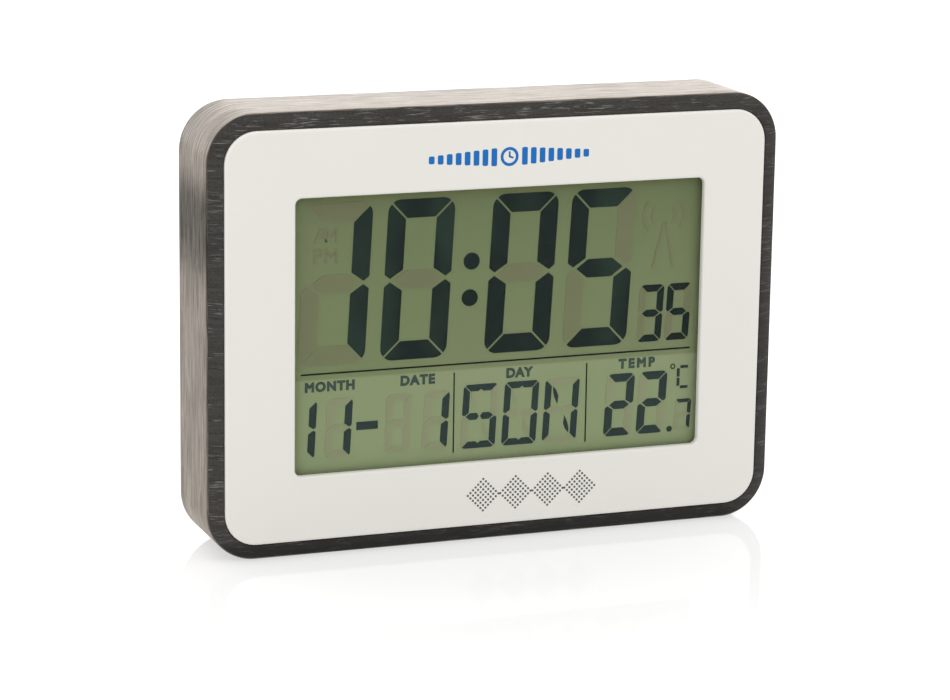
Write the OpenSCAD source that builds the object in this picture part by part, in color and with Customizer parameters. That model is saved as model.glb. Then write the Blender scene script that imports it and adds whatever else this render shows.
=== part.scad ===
// Desk clock with a large liquid crystal display in a wood-grain frame.
// +X is to the right of someone who faces the display, +Y is to the back, +Z is up.
// The origin is on the table, under the middle of the clock.

/* [Overall size] */
// Width across the frame
body_w = 190; // [165:1:240]
// Height from the table to the top of the frame
body_h = 140; // [118:1:175]
// Depth from the face of the front panel to the back cover
body_d = 33; // [32:0.5:50]
// Radius of the frame's outer corners
corner_r = 15.5; // [13:0.5:22]

/* [Frame] */
// Wall of the sleeve round the works
frame_wall = 2.6; // [2.4:0.1:3.2]
// Wall of the sleeve round the edge of the back cover
rebate_wall = 1.4; // [1:0.1:1.8]
// Width of the front ring, from the outside to the gap round the panel
ring_w = 4.95; // [4.5:0.05:7]
// Rise of the front ring from its outer to its inner edge
ring_rise = 2; // [1:0.1:3]
// How much the ring's face bulges out of a straight slope
ring_bulge = 0.35; // [0:0.05:0.6]
// Thickness of the ring at its outer edge
lip_t = 2.2; // [1.8:0.1:3]

/* [Front panel] */
// Thickness of the panel
panel_t = 2; // [1.6:0.1:2.6]
// How far the panel stands proud of the ring
panel_rise = 0.8; // [0.4:0.1:1.4]
// Gap between the panel and the ring
panel_gap = 0.2; // [0.1:0.05:0.4]
// Rounding of the panel's front edge
panel_edge = 1; // [0.4:0.1:1.4]
// Thickness of the panel's skirt and flange
skirt_t = 1.7; // [1.4:0.1:2]

/* [Display window] */
// From the left side of the clock to the window
window_left = 27.6; // [24:0.1:34]
// From the right side of the clock to the window
window_right = 26; // [24:0.1:34]
// From the top of the clock to the window
window_top = 26.5; // [25:0.1:40]
// From the table to the window
window_bottom = 26; // [26:0.1:40]
// Radius of the window's corners
window_r = 2.1; // [1:0.1:4]
// Rounding of the window's front edge
window_edge = 0.8; // [0.3:0.1:1.2]

/* [Display cell] */
// Thickness of each glass
glass_t = 1.1; // [0.7:0.1:1.5]
// How far the glass reaches past the window at the sides and the top
glass_lap = 3; // [2.5:0.1:3.2]
// Height of the contact ledge of the front glass
contact_ledge = 5; // [4:0.1:5.2]
// Thickness of each film on the glass
film_t = 0.2; // [0.1:0.05:0.3]
// Thickness of the layer that forms the figures
figure_t = 0.1; // [0.05:0.01:0.2]
// Lean of the figures to the right, per unit of height
figure_lean = 0.053; // [0:0.001:0.12]

/* [Boards] */
// Thickness of the circuit boards
board_t = 1.6; // [1:0.1:2]
// From each side of the clock to the main board
board_side = 15; // [14.5:0.5:20]
// Height of the main board
board_h = 60; // [50:1:62]

/* [Screws] */
// Radius of a case screw
case_screw_r = 1.25; // [1:0.05:1.5]
// Radius of a small inside screw
small_screw_r = 0.95; // [0.8:0.05:1.1]
// From each side of the clock to a case screw
case_screw_inset = 13; // [12.5:0.1:14]

/* [Batteries] */
// Diameter of a cell
cell_d = 14.5; // [10.5:0.1:14.5]
// Length of a cell with its button
cell_l = 50.5; // [44.5:0.1:50.5]
// From the right side of the clock to the middle of the battery bay
bay_side = 36.5; // [36:0.1:40]
// Height of the floor of the battery bay
bay_bottom = 20; // [18:0.5:24]

/* [Back cover] */
// Thickness of the cover
cover_t = 2.2; // [2:0.1:2.8]
// Thickness of the battery door
door_t = 1.8; // [1.5:0.1:2]
// Thickness of the stand
stand_t = 3.4; // [3:0.1:4]
// From each side of the clock to the stand's pocket
stand_side = 64; // [62:0.5:70]
// Height of the stand's free end over the table
stand_foot = 12; // [10:0.5:30]
// From the top of the clock down to the stand's hinge
stand_top = 58; // [54:0.5:64]
// How far the stand opens
stand_open = 35; // [20:1:35]
// Radius of the round end of the keyhole
keyhole_r = 4; // [3.5:0.1:4.5]

/* [Buttons] */
// Length of a button
button_w = 12; // [8:0.5:13]
// Height of a button
button_h = 6; // [4:0.5:7]
// Distance between buttons
button_pitch = 12; // [11.5:0.5:12.5]
// How far a button travels
button_travel = 0.5; // [0.3:0.1:0.6]

/* [Hidden] */
$fn = 64;

fit = 0.3;
slip = 0.05;
tiny = 0.01;

// Depths of the layers, from the face of the panel to the back
panel_y = -body_d / 2;
back_y = body_d / 2;
edge_y = panel_y + panel_rise + ring_rise;
lip_back_y = edge_y + lip_t;
gasket_t = 0.4;
gasket_y = panel_y + panel_t;
polarizer_y = gasket_y + gasket_t;
front_glass_y = polarizer_y + film_t;
figure_y = front_glass_y + glass_t;
rear_glass_y = figure_y + figure_t;
reflector_y = rear_glass_y + glass_t;
bracket_y = reflector_y + film_t;
bracket_t = 1.5;
board_y = bracket_y + bracket_t;
board_back_y = board_y + board_t;
cover_y = back_y - cover_t;

// Front panel
panel_inset = ring_w + panel_gap;
panel_w = body_w - 2 * panel_inset;
panel_h = body_h - 2 * panel_inset;
panel_r = corner_r - panel_inset;
mid_z = body_h / 2;

// Window and glass
window_w = body_w - window_left - window_right;
window_h = body_h - window_top - window_bottom;
window_x = (window_left - window_right) / 2;
window_z = window_bottom + window_h / 2;
glass_top = window_bottom + window_h + glass_lap + 1;
rear_glass_bottom = window_bottom - glass_lap;
front_glass_bottom = rear_glass_bottom - contact_ledge;
bracket_wall = 1.2;
bracket_out = fit + bracket_wall;

// Small screws and the posts that take them
small_post_r = 2.6;
ear_x = 45;
ear_r = 3.2;
ear_zs = [front_glass_bottom - bracket_out - 4, glass_top + bracket_out + 5];
board_w = body_w - 2 * board_side;
board_bottom = front_glass_bottom - 1;
board_screw_x = board_w / 2 - 3.5;
board_screw_zs = [board_bottom + 4.5, board_bottom + board_h - 5];
small_head_r = 1.9;
small_head_t = 1.4;

// Case screws
case_post_r = 3.6;
case_tube_r = 4.6;
case_joint_y = 4;
case_head_r = 2.7;
case_head_t = 2;
case_seat_t = 4;
case_seat_y = case_joint_y + case_seat_t;
case_screw_l = 14;
case_screw_x = body_w / 2 - case_screw_inset;
case_screw_zs = [case_screw_inset - 1, body_h - case_screw_inset + 1];

// Back cover
cover_w = body_w - 2 * (rebate_wall + fit);
cover_h = body_h - 2 * (rebate_wall + fit);
cover_r = corner_r - rebate_wall - fit;
cover_edge = 0.8;
cover_skirt_in = frame_wall - rebate_wall;
cover_skirt_t = 1.5;
cover_skirt_l = 6;

// Battery bay, door and cells
bay_x = body_w / 2 - bay_side;
bay_wall = 2.4;
cell_gap = 0.5;
contact_t = 0.4;
spring_l = 5;
bay_w = 2 * cell_d + 3 * cell_gap;
bay_l = cell_l + spring_l + 2 * contact_t;
cell_y = back_y - door_t - cell_gap - cell_d / 2;
bay_floor_y = cell_y - cell_d / 2 - fit;
bay_floor_t = 1.5;
door_lap = 1.2;
door_gap = 0.25;
door_w = bay_w + 2 * door_lap - 2 * door_gap;
door_pivot_r = 1.5;
door_pin_r = 0.9;
door_pin_l = 0.9;
door_pivot_y = back_y - door_pivot_r;
door_foot = 2.2;
door_pivot_z = bay_bottom - door_foot + fit + door_pivot_r;
door_top = bay_bottom + bay_l + door_lap - door_gap;

// Stand
stand_pocket_w = body_w - 2 * stand_side;
stand_w = stand_pocket_w - 2 * 0.4;
stand_pivot_z = body_h - stand_top;
stand_sunk = 0.2;
stand_pivot_r = stand_t / 2;
stand_pivot_y = back_y - stand_sunk - stand_pivot_r;
stand_floor_y = stand_pivot_y - stand_pivot_r - 0.5;
stand_wall = 1.5;
stand_heel = 3;
stand_pin_r = 1.2;
stand_pin_l = 1.2;
heel_floor_y = stand_pivot_y - stand_pivot_r * cos(stand_open) - stand_heel * sin(stand_open) - 0.2;

// Keyhole
keyhole_z = body_h - 32;
keyhole_slot_r = 2.2;
keyhole_slot_l = 8;
keyhole_depth = 5;

// Buttons, their switches and their board
button_x = 33 - body_w / 2;
button_mid_z = mid_z - 8;
button_count = 6;
button_sunk = 0.2;
button_recess = 1.2;
button_pad_t = 2.2;
button_pad_y = back_y - button_recess - button_pad_t;
button_flange = 1;
button_flange_t = 1;
button_flange_y = button_pad_y - slip - button_flange_t;
switch_w = 6;
switch_h = 3.5;
plunger_r = 1.75;
plunger_gap = 0.1;
plunger_y = button_flange_y - 4.5;
plunger_hole_y = plunger_y - button_travel - fit;
button_board_y = plunger_hole_y - 1.5 - board_t;
button_board_w = 16;
button_board_h = button_count * button_pitch + 16;
button_screw_zs = [button_mid_z - button_board_h / 2 + 4, button_mid_z + button_board_h / 2 - 4];
button_screw_l = board_t + 5;
function button_z(i) = button_mid_z + ((button_count - 1) / 2 - i) * button_pitch;

// Antenna, buzzer and sensor
antenna_r = 4;
antenna_side = 60;
antenna_l = body_w - 2 * antenna_side;
antenna_y = 5;
antenna_z = body_h - 14;
coil_r = 5.2;
coil_l = 20;
clip_t = 4;
buzzer_r = 10;
buzzer_disc_t = 0.3;
buzzer_ledge = 1.5;
buzzer_wall = 1.2;
buzzer_z = body_h - 20;
buzzer_y = cover_y - buzzer_ledge - buzzer_disc_t;
ceramic_r = 6.8;
ceramic_t = 0.25;
grille_r = 0.9;
sensor_r = 1.5;
sensor_l = 6;
sensor_z = body_h - 20;
sensor_y = cover_y - 2.4;

// ---- Helpers ----

// Rounded rectangle centred on a point
module rounded(w, h, r, at = [0, 0]) {
  translate(at) union() {
    square([w - 2 * r, h], center = true);
    square([w, h - 2 * r], center = true);
    for (x = [-1, 1], y = [-1, 1]) translate([x * (w / 2 - r), y * (h / 2 - r)]) circle(r);
  }
}

// Upright slab of thickness t whose outline is drawn in x and z, with its front at depth y
module slab(y, t) {
  translate([0, y + t, 0]) rotate([90, 0, 0]) linear_extrude(t) children();
}

// Upright box from a low to a high corner
module box(low, high) {
  translate(low) cube(high - low);
}

// Round peg of radius r that runs front to back between two depths
module peg(x, z, from, to, r) {
  translate([x, from, z]) rotate([-90, 0, 0]) cylinder(h = to - from, r = r);
}

// Profile of [inset, depth] points swept round a rounded rectangle that stands at depth y
module rim(w, h, r, y, at, profile) {
  translate([at.x, y, at.y]) rotate([90, 0, 0]) for (k = [0:3]) rotate([0, 0, 90 * k]) {
    a = (k % 2 == 0 ? w : h) / 2;
    b = (k % 2 == 0 ? h : w) / 2;
    translate([r - a, b, 0]) rotate([90, 0, 90]) linear_extrude(2 * (a - r))
      polygon([for (p = profile) [-p.x, -p.y]]);
    translate([a - r, b - r, 0]) rotate_extrude(angle = 90)
      polygon([for (p = profile) [r - p.x, -p.y]]);
  }
}

// Points of an arc
function arc(x, y, r, from, to, steps) =
  [for (i = [0:steps]) let (a = from + (to - from) * i / steps) [x + r * cos(a), y + r * sin(a)]];

// Screw with its head at depth y; it points to the front, or to the back with way = 1
module screw(x, z, y, l, r, head_r, head_t, way = -1) {
  translate([x, y, z]) rotate([-90 * way, 0, 0]) {
    cylinder(h = l, r = r);
    translate([0, 0, -head_t]) difference() {
      cylinder(h = head_t, r = head_r);
      for (turn = [0, 90]) rotate([0, 0, turn])
        translate([-head_r * 0.6, -head_r * 0.14, -tiny])
          cube([head_r * 1.2, head_r * 0.28, head_t * 0.5]);
    }
  }
}

// Round wire of radius r swept along points
function unit(v) = v / norm(v);
function tangent(pts, i) = unit(pts[min(i + 1, len(pts) - 1)] - pts[max(i - 1, 0)]);
function side(t) = unit(cross(t, abs(t.z) < 0.9 ? [0, 0, 1] : [1, 0, 0]));
// A direction square to the wire at each point, carried along without a twist
function sides_along(pts) = [
  for (i = 0, u = side(tangent(pts, 0)); i < len(pts);
    i = i + 1, t = tangent(pts, min(i, len(pts) - 1)), u = unit(u - (u * t) * t)) u
];

module wire(pts, r, sides = 8) {
  us = sides_along(pts);
  rings = [
    for (i = [0:len(pts) - 1]) let (u = us[i], v = cross(tangent(pts, i), u))
      for (k = [0:sides - 1]) pts[i] + r * (cos(360 * k / sides) * u + sin(360 * k / sides) * v)
  ];
  last = (len(pts) - 1) * sides;
  polyhedron(rings, concat(
    [[for (k = [0:sides - 1]) k]],
    [for (i = [0:len(pts) - 2], k = [0:sides - 1]) let (a = i * sides, n = (k + 1) % sides)
      [a + k, a + sides + k, a + sides + n, a + n]],
    [[for (k = [sides - 1:-1:0]) last + k]]
  ));
}

// Smooth route from a to b that leaves along da and arrives against db, with straight ends;
// bend is how far it leans aside once it has left a
function route(a, da, db, b, bend = [0, 0, 0], steps = 12) =
  let (end_l = 0.6, p = a + end_l * unit(da), q = b + end_l * unit(db)) concat(
    [a],
    [for (i = [0:steps]) let (s = i / steps, t = 1 - s)
      t * t * t * p + 3 * t * t * s * (p + da + bend) + 3 * t * s * s * (q + db) + s * s * s * q],
    [b]
  );

// ---- Case ----

module wood_frame() {
  depth = back_y - edge_y;
  seat = depth - cover_t;
  edge = 0.4;
  inner_edge = 0.3;
  back_edge = 0.5;
  slope = [for (s = [0:0.125:1])
    [edge + s * (ring_w - edge - inner_edge), -ring_rise * s * (1 + ring_bulge * (1 - s))]];
  color([0.25, 0.22, 0.20]) rim(body_w, body_h, corner_r, edge_y, [0, mid_z], concat(
    [[0, depth - back_edge], [0, edge]],
    slope,
    [[ring_w, inner_edge - ring_rise], [ring_w, lip_t], [frame_wall, lip_t], [frame_wall, seat],
      [rebate_wall, seat], [rebate_wall, depth], [back_edge, depth]]
  ));
}

module window_outline(grow = 0) {
  rounded(window_w + 2 * grow, window_h + 2 * grow, window_r + grow, [window_x, window_z]);
}

module front_panel() {
  flange_out = panel_inset - frame_wall - fit;
  flange_at = lip_back_y - panel_y;
  lip_band = 2;
  color([0.91, 0.90, 0.88]) difference() {
    union() {
      rim(panel_w, panel_h, panel_r, panel_y, [0, mid_z], concat(
        arc(panel_edge, panel_edge, panel_edge, 270, 180, 6),
        [[0, flange_at], [-flange_out, flange_at], [-flange_out, flange_at + skirt_t],
          [skirt_t, flange_at + skirt_t], [skirt_t, 0]]
      ));
      slab(panel_y, panel_t) difference() {
        rounded(panel_w - 2 * skirt_t, panel_h - 2 * skirt_t, panel_r - skirt_t, [0, mid_z]);
        window_outline(lip_band);
      }
      rim(window_w, window_h, window_r, panel_y, [window_x, window_z], concat(
        arc(-window_edge, window_edge, window_edge, -90, 0, 5),
        [[0, panel_t], [-lip_band, panel_t], [-lip_band, 0]]
      ));
      for (x = [-1, 1], z = case_screw_zs)
        peg(x * case_screw_x, z, gasket_y, case_joint_y, case_post_r);
      for (x = [-1, 1], z = ear_zs)
        peg(x * ear_x, z, gasket_y, bracket_y, small_post_r);
      for (x = [-1, 1], z = board_screw_zs)
        peg(x * board_screw_x, z, gasket_y, board_y, small_post_r);
    }
    for (x = [-1, 1], z = case_screw_zs)
      peg(x * case_screw_x, z, case_seat_y - case_screw_l - 1, case_joint_y + 1, case_screw_r + slip);
    for (x = [-1, 1], z = ear_zs)
      peg(x * ear_x, z, gasket_y - 0.5, bracket_y + 1, small_screw_r + slip);
    for (x = [-1, 1], z = board_screw_zs)
      peg(x * board_screw_x, z, gasket_y - 0.5, board_y + 1, small_screw_r + slip);
  }
}

// ---- Display ----

// Outline that reaches past the window by side, below and above
module glass_outline(side, below, above) {
  translate([window_x - window_w / 2 - side, window_bottom - below])
    square([window_w + 2 * side, window_h + below + above]);
}

module lcd_gasket() {
  color([0.12, 0.12, 0.13]) slab(gasket_y, gasket_t) difference() {
    glass_outline(2.4, 2.4, 2.4);
    glass_outline(0.4, 0.4, 0.4);
  }
}

module front_polarizer() {
  color([0.5, 0.55, 0.42]) slab(polarizer_y, film_t) glass_outline(2.4, 2.4, 2.4);
}

module front_glass() {
  color([0.75, 0.82, 0.78]) slab(front_glass_y, glass_t)
    glass_outline(glass_lap, glass_lap + contact_ledge, glass_lap + 1);
}

module rear_glass() {
  color([0.72, 0.8, 0.76]) slab(rear_glass_y, glass_t)
    glass_outline(glass_lap, glass_lap, glass_lap + 1);
}

module reflector_film() {
  color([0.49, 0.54, 0.41]) slab(reflector_y, film_t) glass_outline(2.4, 2.4, 2.4);
}

// The figures are drawn from the middle of a window of this size, and follow the real one
art_w = 136.4;
art_h = 87.5;
function art_point(p) = [window_x + p.x * window_w / art_w, window_z + p.y * window_h / art_h];
art_r = min(window_w / art_w, window_h / art_h);

module art(points) {
  polygon([for (p = points) art_point(p)]);
}

module art_dot(at, r) {
  translate(art_point(at)) circle(r * art_r);
}

// A figure has its lower left corner at "at", and leans about its own middle
function lean(points, at, h) = [for (p = points) at + [p.x + figure_lean * (p.y - h / 2), p.y]];
function flip(points, w, h, over_x, over_y) =
  [for (p = points) [over_x ? w - p.x : p.x, over_y ? h - p.y : p.y]];

// Outlines of the strokes of a figure w wide and h high, drawn with strokes t thick
function stroke_gap(t) = 0.06 * t + 0.08;
function top_stroke(w, h, t, notch = []) = let (r = 0.6 * t, g = stroke_gap(t)) concat(
  [for (p = arc(r, h - r, r, 135, 90, 3)) [p.x + g, p.y]],
  [for (p = arc(w - r, h - r, r, 90, 45, 3)) [p.x - g, p.y]],
  [[w - t - g, h - t]],
  notch,
  [[t + g, h - t]]
);
function notched_stroke(w, h, t) =
  top_stroke(w, h, t, [[w / 2 + 0.4 * t, h - t], [w / 2, h - 0.7 * t], [w / 2 - 0.4 * t, h - t]]);
function side_stroke(w, h, t) = let (r = 0.6 * t, g = stroke_gap(t)) concat(
  [for (p = arc(r, h - r, r, 180, 135, 3)) [p.x, p.y - g]],
  [[t, h - t - g], [t, h / 2 + 0.56 * t], [0.31 * t, h / 2 + 0.09 * t], [0, h / 2 + 0.33 * t]]
);
function middle_stroke(w, h, t) = let (g = stroke_gap(t), a = 0.44 * t + g, b = 1.08 * t + g)
  [[a, h / 2], [b, h / 2 + t / 2], [w - b, h / 2 + t / 2], [w - a, h / 2], [w - b, h / 2 - t / 2],
    [b, h / 2 - t / 2]];
function half_stroke(w, h, t) =
  let (g = stroke_gap(t), a = 0.44 * t + g, b = 1.08 * t + g, m = w / 2 - g)
  [[a, h / 2], [b, h / 2 + t / 2], [m - t / 3, h / 2 + t / 2], [m, h / 2], [m - t / 3, h / 2 - t / 2],
    [b, h / 2 - t / 2]];
function slash_stroke(w, h, t) =
  [[t * 1.25, h - t * 1.15], [t * 1.75, h - t * 1.75], [t * 2.15, h - t * 2.6],
    [t * 2.05, h / 2 + t * 0.85], [t * 1.5, h - t * 2.8], [t * 1.25, h - t * 1.9]];

// Strokes of a figure by letter: a top, b c right, d bottom, e f left, g middle,
// l r the halves of the middle, n s the strokes of a slash, u v a top and a bottom with a notch
function stroke(name, w, h, t) =
  name == "a" ? top_stroke(w, h, t) :
  name == "d" ? flip(top_stroke(w, h, t), w, h, false, true) :
  name == "f" ? side_stroke(w, h, t) :
  name == "b" ? flip(side_stroke(w, h, t), w, h, true, false) :
  name == "e" ? flip(side_stroke(w, h, t), w, h, false, true) :
  name == "c" ? flip(side_stroke(w, h, t), w, h, true, true) :
  name == "l" ? half_stroke(w, h, t) :
  name == "r" ? flip(half_stroke(w, h, t), w, h, true, false) :
  name == "u" ? notched_stroke(w, h, t) :
  name == "v" ? flip(notched_stroke(w, h, t), w, h, false, true) :
  name == "n" ? slash_stroke(w, h, t) :
  name == "s" ? flip(slash_stroke(w, h, t), w, h, true, true) :
  middle_stroke(w, h, t);

module figure(strokes, at, w, h, t) {
  for (name = strokes) art(lean(stroke(name, w, h, t), at, h));
}

module bar(x0, z0, x1, z1) {
  art([[x0, z0], [x1, z0], [x1, z1], [x0, z1]]);
}

// Sizes and places of the figures, from the middle of the window
hour_size = [22, 50.9, 5.95];
hour_z = -9.65;
hour_xs = [-65.25, -38.25, -3.55, 23.05];
second_size = [8.4, 18.6, 2.3];
second_z = -9.45;
second_xs = [47.9, 57.5];
date_size = [8.4, 19, 2.4];
date_z = -39.55;
date_xs = [-68.8, -57.1, -37.5, -24.9];
day_size = [11.7, 20.7, 2.2];
day_z = -40.05;
day_xs = [-11.9, 2, 15.9];
temperature_size = [9.7, 20.5, 2.7];
temperature_z = -39.85;
temperature_xs = [37.1, 48.5];
tenth_size = [5.6, 10.2, 1.2];
tenth_at = [61.5, -39.45];

module sized_figure(strokes, at, size) {
  figure(strokes, at, size.x, size.y, size.z);
}

module lit_figures() {
  hours = ["bc", "abcdef", "abcdef", "afgcd"];
  for (i = [0:3]) sized_figure(hours[i], [hour_xs[i], hour_z], hour_size);
  for (z = [20.45, 8.75]) art_dot([-10.2 + 0.04 * z, z], 2.7);
  seconds = ["abgcd", "afgcd"];
  for (i = [0:1]) sized_figure(seconds[i], [second_xs[i], second_z], second_size);
  for (i = [0, 1, 3]) sized_figure("bc", [date_xs[i], date_z], date_size);
  bar(-47.1, -31.2, -40, -28.6);
  days = ["uflrcv", "ubcvef", "efbcns"];
  for (i = [0:2]) sized_figure(days[i], [day_xs[i], day_z], day_size);
  for (i = [0:1]) sized_figure("abged", [temperature_xs[i], temperature_z], temperature_size);
  sized_figure("abc", tenth_at, tenth_size);
  art_dot([59.8, -38.95], 1);
  degree_sign();
  bar(-65.3, -12.6, 66.3, -12.1);
  bar(-14.9, -41, -14.5, -15);
  bar(30.2, -41, 30.6, -15);
}

module degree_sign() {
  difference() {
    art_dot([60.5, -18.25], 0.9);
    art_dot([60.5, -18.25], 0.5);
  }
  bar(62, -21.8, 63, -19);
  bar(62, -24.8, 63, -22.2);
  bar(63.2, -19, 65.9, -18.1);
  bar(63.2, -25.7, 65.9, -24.8);
}

module idle_figures() {
  hours = ["aged", "g", "g", "be"];
  for (i = [0:3]) sized_figure(hours[i], [hour_xs[i], hour_z], hour_size);
  seconds = ["fe", "be"];
  for (i = [0:1]) sized_figure(seconds[i], [second_xs[i], second_z], second_size);
  for (i = [1, 3]) sized_figure("afged", [date_xs[i], date_z], date_size);
  sized_figure("abcdefg", [date_xs[2], date_z], date_size);
  days = ["bens", "lrns", "uvlr"];
  for (i = [0:2]) sized_figure(days[i], [day_xs[i], day_z], day_size);
  for (i = [0:1]) sized_figure("fc", [temperature_xs[i], temperature_z], temperature_size);
  sized_figure("fged", tenth_at, tenth_size);
  signal_icon();
}

// Faint outline of a small mast with waves at its top
module signal_icon() {
  mast_x = 56;
  mast_z = 14.5;
  art([[mast_x - 4, mast_z], [mast_x - 3, mast_z], [mast_x + 0.3, mast_z + 15],
    [mast_x - 0.3, mast_z + 15]]);
  art([[mast_x + 4, mast_z], [mast_x + 3, mast_z], [mast_x + 0.5, mast_z + 13],
    [mast_x + 0.9, mast_z + 15]]);
  for (way = [-1, 1], r = [4.5, 7.5])
    art([for (p = concat(arc(0, 0, r, -40, 40, 6), arc(0, 0, r - 1.1, 40, -40, 6)))
      [mast_x + way * p.x, mast_z + 17 + p.y]]);
}

module lcd_figures() {
  color([0.1, 0.13, 0.12]) slab(figure_y, figure_t) lit_figures();
}

module lcd_idle_figures() {
  color([0.46, 0.48, 0.37]) slab(figure_y, figure_t) idle_figures();
}

module lcd_bracket() {
  outer = glass_lap + bracket_out;
  outer_below = glass_lap + contact_ledge + bracket_out;
  strip_z = strip_bottom();
  color([0.88, 0.88, 0.86]) difference() {
    union() {
      slab(bracket_y, bracket_t) glass_outline(outer, outer_below, outer + 1);
      slab(front_glass_y, bracket_y - front_glass_y) difference() {
        glass_outline(outer, outer_below, outer + 1);
        glass_outline(glass_lap + fit, glass_lap + contact_ledge + fit, glass_lap + 1 + fit);
      }
      for (x = [-1, 1], i = [0, 1]) {
        peg(x * ear_x, ear_zs[i], bracket_y, board_y, ear_r);
        box([x * ear_x - ear_r, bracket_y, min(ear_zs[i], body_h / 2 + (i - 0.5) * window_h)],
          [x * ear_x + ear_r, board_y, max(ear_zs[i], body_h / 2 + (i - 0.5) * window_h)]);
      }
    }
    slab(bracket_y - 1, bracket_t + 2) glass_outline(-8, -6, -6);
    box([window_x - strip_w / 2 - slip, bracket_y - 1, strip_z - slip],
      [window_x + strip_w / 2 + slip, board_y + 1, strip_z + strip_t + slip]);
    for (x = [-1, 1], z = ear_zs) peg(x * ear_x, z, bracket_y - 1, board_y + 1, small_screw_r + fit);
  }
}

module bracket_screws() {
  color([0.75, 0.75, 0.76]) for (x = [-1, 1], z = ear_zs)
    screw(x * ear_x, z, board_y, board_y - gasket_y, small_screw_r, small_head_r, small_head_t);
}

strip_w = window_w - 6;
strip_t = 2.5;
function strip_bottom() = front_glass_bottom + (contact_ledge - strip_t) / 2;

module contact_strip() {
  color([0.85, 0.78, 0.62]) box([window_x - strip_w / 2, figure_y, strip_bottom()],
    [window_x + strip_w / 2, board_y, strip_bottom() + strip_t]);
}

// ---- Boards ----

module main_board() {
  color([0.12, 0.36, 0.2]) slab(board_y, board_t) difference() {
    translate([-board_w / 2, board_bottom]) square([board_w, board_h]);
    for (x = [-1, 1], z = board_screw_zs) translate([x * board_screw_x, z]) circle(small_screw_r + fit);
  }
}

module board_screws() {
  color([0.75, 0.75, 0.76]) for (x = [-1, 1], z = board_screw_zs)
    screw(x * board_screw_x, z, board_back_y, board_back_y - gasket_y, small_screw_r, small_head_r,
      small_head_t);
}

// Drop of resin over the bare chip
module clock_chip() {
  drop_r = 8;
  drop_t = 1.5;
  color([0.05, 0.05, 0.05]) translate([6, board_back_y, board_bottom + 28]) rotate([-90, 0, 0])
    rotate_extrude() polygon(concat([[0, 0]], [for (a = [0:15:90]) [drop_r * cos(a), drop_t * sin(a)]]));
}

module quartz_crystal() {
  can_r = 1.5;
  can_l = 8;
  pin = 0.4;
  x = -14;
  z = board_bottom + 34;
  y = board_back_y + 0.1 + can_r;
  color([0.8, 0.8, 0.82]) union() {
    translate([x, y, z]) rotate([0, 90, 0]) cylinder(h = can_l, r = can_r);
    for (dz = [-0.9, 0.5]) {
      box([x - 2, y - pin / 2, z + dz], [x + 1, y + pin / 2, z + dz + pin]);
      box([x - 2, board_back_y, z + dz], [x - 2 + pin, y, z + dz + pin]);
    }
  }
}

module board_parts() {
  color([0.5, 0.4, 0.28]) for (i = [0:5]) {
    box([-30 + 5 * i, board_back_y, board_bottom + 14],
      [-28 + 5 * i, board_back_y + 0.8, board_bottom + 15.2]);
    box([14 + 5 * i, board_back_y, board_bottom + 44],
      [15.2 + 5 * i, board_back_y + 0.8, board_bottom + 46]);
  }
}

module button_board() {
  color([0.12, 0.36, 0.2]) slab(button_board_y, board_t) difference() {
    translate([button_x - button_board_w / 2, button_mid_z - button_board_h / 2])
      square([button_board_w, button_board_h]);
    for (z = button_screw_zs) translate([button_x, z]) circle(small_screw_r + fit);
  }
}

module button_board_screws() {
  color([0.75, 0.75, 0.76]) for (z = button_screw_zs)
    screw(button_x, z, button_board_y, button_screw_l, small_screw_r, small_head_r, small_head_t, 1);
}

module switch_bodies() {
  y = button_board_y + board_t;
  color([0.1, 0.1, 0.11]) for (i = [0:button_count - 1]) difference() {
    box([button_x - switch_w / 2, y, button_z(i) - switch_w / 2],
      [button_x + switch_w / 2, y + switch_h, button_z(i) + switch_w / 2]);
    peg(button_x, button_z(i), plunger_hole_y, y + switch_h + 1, plunger_r + plunger_gap);
  }
}

// ---- Buttons ----

module stadium(w, h, at) {
  rounded(w, h, h / 2 - tiny, at);
}

module button_cap(i) {
  at = [button_x, button_z(i)];
  crown = 0.3;
  top = back_y - button_sunk;
  color([0.2, 0.2, 0.21]) union() {
    slab(button_flange_y, button_flange_t)
      stadium(button_w + 2 * button_flange, button_h + 2 * button_flange, at);
    slab(button_flange_y + button_flange_t, top - crown - button_flange_y - button_flange_t)
      stadium(button_w, button_h, at);
    slab(top - crown, crown) stadium(button_w - 0.8, button_h - 0.8, at);
  }
}

module plunger(i) {
  color([0.7, 0.6, 0.45]) peg(button_x, button_z(i), plunger_y, button_flange_y, plunger_r);
}

module time_button() button_cap(0);
module alarm_button() button_cap(1);
module plus_button() button_cap(2);
module minus_button() button_cap(3);
module snooze_button() button_cap(4);
module unit_button() button_cap(5);
module time_plunger() plunger(0);
module alarm_plunger() plunger(1);
module plus_plunger() plunger(2);
module minus_plunger() plunger(3);
module snooze_plunger() plunger(4);
module unit_plunger() plunger(5);

// ---- Back cover ----

module cover_shell() {
  in = cover_skirt_in + cover_skirt_t;
  rim(cover_w, cover_h, cover_r, cover_y, [0, mid_z], concat(
    [[0, 0]],
    arc(cover_edge, cover_t - cover_edge, cover_edge, 180, 90, 4),
    [[in, cover_t], [in, -cover_skirt_l], [cover_skirt_in, -cover_skirt_l], [cover_skirt_in, 0]]
  ));
  slab(cover_y, cover_t) rounded(cover_w - 2 * in, cover_h - 2 * in, cover_r - in, [0, mid_z]);
}

module bay_block() {
  box([bay_x - bay_w / 2 - bay_wall, bay_floor_y - bay_floor_t, bay_bottom - door_foot - 1.2],
    [bay_x + bay_w / 2 + bay_wall, cover_y + tiny, bay_bottom + bay_l + bay_wall]);
}

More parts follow.
